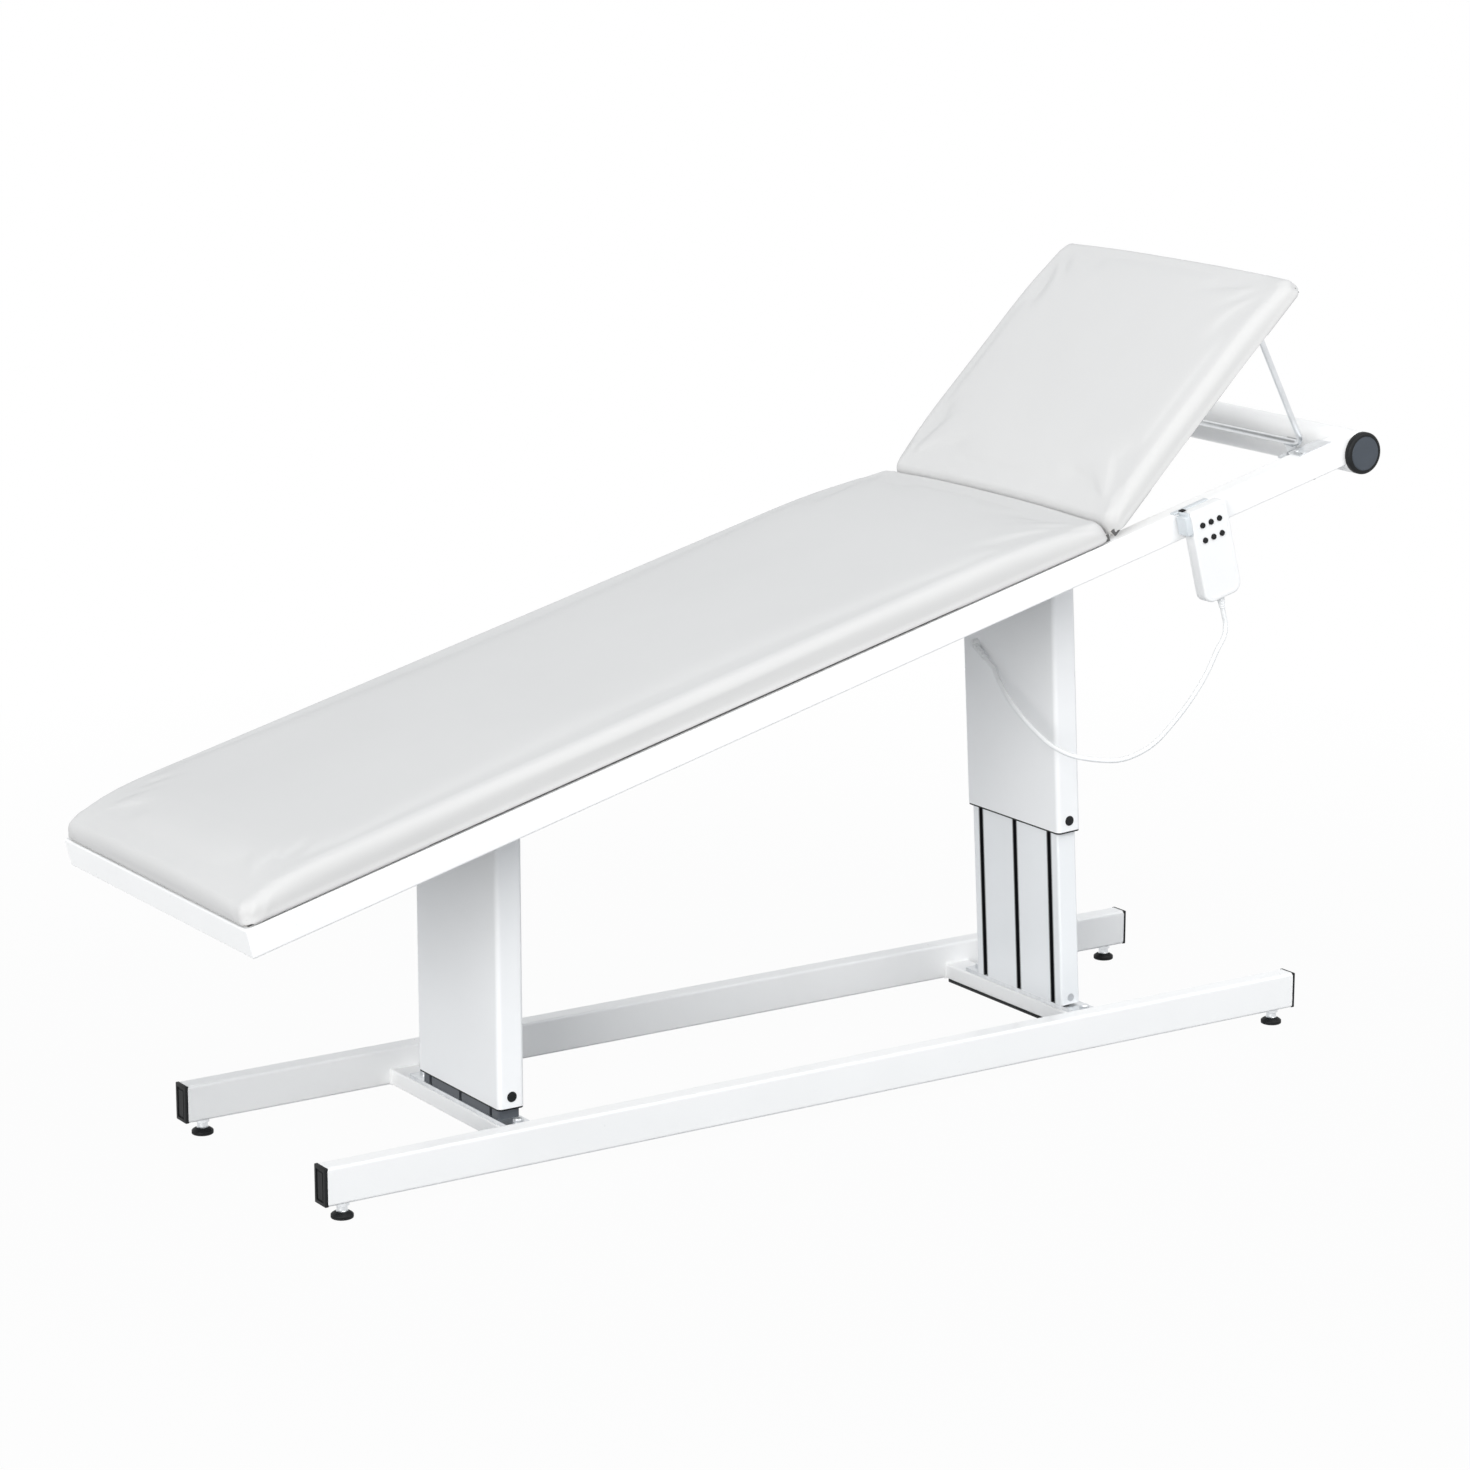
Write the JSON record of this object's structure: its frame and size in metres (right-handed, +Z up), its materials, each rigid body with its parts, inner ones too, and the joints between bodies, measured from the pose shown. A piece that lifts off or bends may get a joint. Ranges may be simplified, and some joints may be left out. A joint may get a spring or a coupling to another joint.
{
  "type": "examination table",
  "caption": "Couch on two telescopic columns that lift and tilt it, with a hinged backrest held by a wire stay, and a corded push-button handset.",
  "frame": {"origin": "on the floor under the middle of the whole table, measured without the handset's cord", "axes": "+X towards the head end, +Y to the side away from the handset, +Z up"},
  "size_m": [1.8763, 0.584, 1.1487],
  "materials": {
    "painted_white": "white gloss powder coat",
    "casing_grey": "pale grey satin powder coat",
    "anodised": "satin anodised extrusion",
    "black_plastic": "moulded, slightly satin",
    "cap_grey": "moulded, satin",
    "zinc": "zinc plated",
    "bright_steel": "bright chrome",
    "pad_vinyl": "pale grey vinyl upholstery over foam",
    "plywood": "raw plywood",
    "handset_white": "moulded, satin gloss",
    "holder_grey": "moulded",
    "cord_grey": "extruded PVC",
    "drive_black": "moulded housing",
    "bronze": "machined"
  },
  "bodies": {
    "base": {"near_floor_rail": "painted_white", "far_floor_rail": "painted_white", "foot_crossmember": "painted_white", "head_crossmember": "painted_white", "rail_end_caps": "black_plastic", "foot_base_plate": "zinc", "head_pivot_bracket": "zinc", "base_bolts": "zinc", "foot_column_profile": "anodised", "foot_lift_nut": "bronze", "head_pivot_pin": "zinc"},
    "foot_1": {"levelling_foot_1": "black_plastic"},
    "foot_2": {"levelling_foot_2": "black_plastic"},
    "foot_3": {"levelling_foot_3": "black_plastic"},
    "foot_4": {"levelling_foot_4": "black_plastic"},
    "foot_column": {"foot_casing": "casing_grey", "foot_casing_trim": "black_plastic", "foot_casing_plugs": "black_plastic", "foot_drive_unit": "drive_black", "foot_lift_screw": "zinc", "foot_pivot_pin": "zinc"},
    "head_stem": {"head_column_profile": "anodised"},
    "head_ram": {"head_ram_tube": "anodised"},
    "head_column": {"head_casing": "casing_grey", "head_casing_trim": "black_plastic", "head_casing_plugs": "black_plastic", "head_drive_unit": "drive_black", "head_lift_screw": "zinc", "top_pivot_pin": "zinc", "cord_gland": "cord_grey"},
    "top_frame": {"near_side_rail": "painted_white", "far_side_rail": "painted_white", "foot_end_rail": "painted_white", "cross_rails": "painted_white", "head_tube": "painted_white", "tube_caps": "cap_grey", "rail_plugs": "black_plastic", "pivot_lugs": "painted_white", "leg_board": "plywood", "leg_cushion": "pad_vinyl", "frame_hinge_leaves": "zinc", "hinge_pins": "zinc", "stay_seats": "zinc", "seat_screws": "zinc", "handset_shell": "handset_white", "handset_back": "handset_white", "handset_hook": "holder_grey", "handset_cord": "cord_grey", "strain_relief": "cord_grey"},
    "backrest": {"backrest_board": "plywood", "backrest_cushion": "pad_vinyl", "back_hinge_leaves": "zinc", "stay_lugs": "zinc"},
    "stay": {"back_stay": "bright_steel"},
    "button_1": {"button_1": "black_plastic"},
    "button_2": {"button_2": "black_plastic"},
    "button_3": {"button_3": "black_plastic"},
    "button_4": {"button_4": "black_plastic"},
    "button_5": {"button_5": "black_plastic"},
    "button_6": {"button_6": "black_plastic"}
  },
  "joints": [
    {"name": "foot_1_turn", "type": "hinge", "parent": "base", "child": "foot_1", "pos_m": [-0.766, -0.207, 0.023], "axis": [0, 0, 1], "range_deg": [-180, 180]},
    {"name": "foot_2_turn", "type": "hinge", "parent": "base", "child": "foot_2", "pos_m": [-0.766, 0.207, 0.023], "axis": [0, 0, 1], "range_deg": [-180, 180]},
    {"name": "foot_3_turn", "type": "hinge", "parent": "base", "child": "foot_3", "pos_m": [0.826, -0.207, 0.023], "axis": [0, 0, 1], "range_deg": [-180, 180]},
    {"name": "foot_4_turn", "type": "hinge", "parent": "base", "child": "foot_4", "pos_m": [0.826, 0.207, 0.023], "axis": [0, 0, 1], "range_deg": [-180, 180]},
    {"name": "foot_lift", "type": "slide", "parent": "base", "child": "foot_column", "axis": [0, 0, 1], "range_m": [0, 0.12]},
    {"name": "head_stem_lean", "type": "hinge", "parent": "base", "child": "head_stem", "pos_m": [0.51991, 0, 0.065], "axis": [0, -1, 0], "range_deg": [-3, 0.2]},
    {"name": "head_ram_lift", "type": "slide", "parent": "head_stem", "child": "head_ram", "axis": [-0.0516, 0, 0.9987], "range_m": [0, 0.121]},
    {"name": "head_raise", "type": "slide", "parent": "head_ram", "child": "head_column", "axis": [-0.0516, 0, 0.9987], "range_m": [-0.244, 0.001]},
    {"name": "top_tilt", "type": "hinge", "parent": "head_column", "child": "top_frame", "pos_m": [0.48315, 0, 0.77605], "axis": [0, -1, 0], "range_deg": [-11.83, 0]},
    {"name": "backrest_fold", "type": "hinge", "parent": "top_frame", "child": "backrest", "pos_m": [0.45826, 0, 0.7944], "axis": [0, -1, 0], "range_deg": [-30.3, 0]},
    {"name": "stay_fold", "type": "hinge", "parent": "backrest", "child": "stay", "pos_m": [0.74771, 0, 1.06775], "axis": [0, -1, 0], "range_deg": [-73, 0.5]},
    {"name": "button_1_press", "type": "slide", "parent": "top_frame", "child": "button_1", "axis": [0, 1, 0], "range_m": [0, 0.0012], "stiffness_N_per_m": 400, "springref_m": -0.0005},
    {"name": "button_2_press", "type": "slide", "parent": "top_frame", "child": "button_2", "axis": [0, 1, 0], "range_m": [0, 0.0012], "stiffness_N_per_m": 400, "springref_m": -0.0005},
    {"name": "button_3_press", "type": "slide", "parent": "top_frame", "child": "button_3", "axis": [0, 1, 0], "range_m": [0, 0.0012], "stiffness_N_per_m": 400, "springref_m": -0.0005},
    {"name": "button_4_press", "type": "slide", "parent": "top_frame", "child": "button_4", "axis": [0, 1, 0], "range_m": [0, 0.0012], "stiffness_N_per_m": 400, "springref_m": -0.0005},
    {"name": "button_5_press", "type": "slide", "parent": "top_frame", "child": "button_5", "axis": [0, 1, 0], "range_m": [0, 0.0012], "stiffness_N_per_m": 400, "springref_m": -0.0005},
    {"name": "button_6_press", "type": "slide", "parent": "top_frame", "child": "button_6", "axis": [0, 1, 0], "range_m": [0, 0.0012], "stiffness_N_per_m": 400, "springref_m": -0.0005}
  ],
  "couplings": [
    {"joint": "head_stem_lean", "follows": "top_tilt", "ratio": 0.2252},
    {"joint": "head_ram_lift", "follows": "foot_lift", "ratio": 1},
    {"joint": "head_raise", "follows": "top_tilt", "m_per_rad": 1.1764},
    {"joint": "stay_fold", "follows": "backrest_fold", "ratio": 2.4018}
  ]
}
